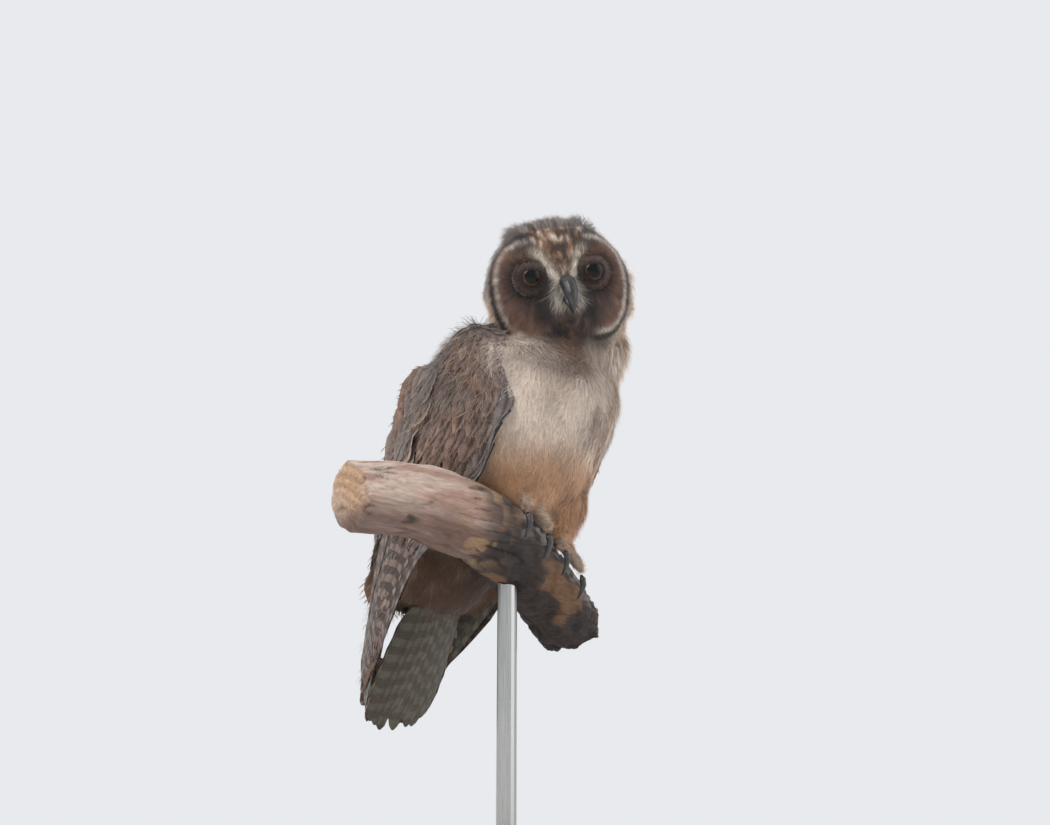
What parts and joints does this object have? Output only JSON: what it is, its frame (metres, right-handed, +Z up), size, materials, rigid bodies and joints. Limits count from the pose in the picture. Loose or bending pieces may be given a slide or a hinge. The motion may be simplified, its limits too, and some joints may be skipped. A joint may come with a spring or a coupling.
{
  "type": "long-eared owl fledgling on a perch",
  "caption": "Life-size downy owl gripping a short cut of bark-covered branch, head turned and tail hanging behind it, held up by a rod on a flat wooden base.",
  "frame": {"origin": "centre of the underside of the stand's base", "axes": "+Z up, -Y the way the owl's breast faces, +X towards the owl's left"},
  "size_m": [0.2244, 0.19, 0.346],
  "materials": {
    "down": "soft buff and brown down",
    "feather": "barred brown flight feathers",
    "foot_down": "short pale toe feathers",
    "horn": "dark horn",
    "eye": "wet, dark pupil and orange-brown iris",
    "bark": "rough bark, partly rotten",
    "base_wood": "satin",
    "rod_metal": "brushed"
  },
  "bodies": {
    "root": {"eye_right": "eye", "eye_left": "eye", "bill_upper": "horn", "bill_lower": "horn", "head": "down", "ear_tuft_right": "down", "ear_tuft_left": "down", "perch_branch": "bark", "foot_right": "foot_down", "foot_left": "foot_down", "trunk": "down", "wing_right": "feather", "wing_left": "feather", "neck": "down", "leg_right": "down", "leg_left": "down", "tail": "feather", "stand_base": "base_wood", "stand_collar": "rod_metal", "stand_rod": "rod_metal", "claw_right_1": "horn", "claw_right_2": "horn", "claw_right_3": "horn", "claw_right_4": "horn", "claw_left_1": "horn", "claw_left_2": "horn", "claw_left_3": "horn", "claw_left_4": "horn"}
  },
  "joints": []
}
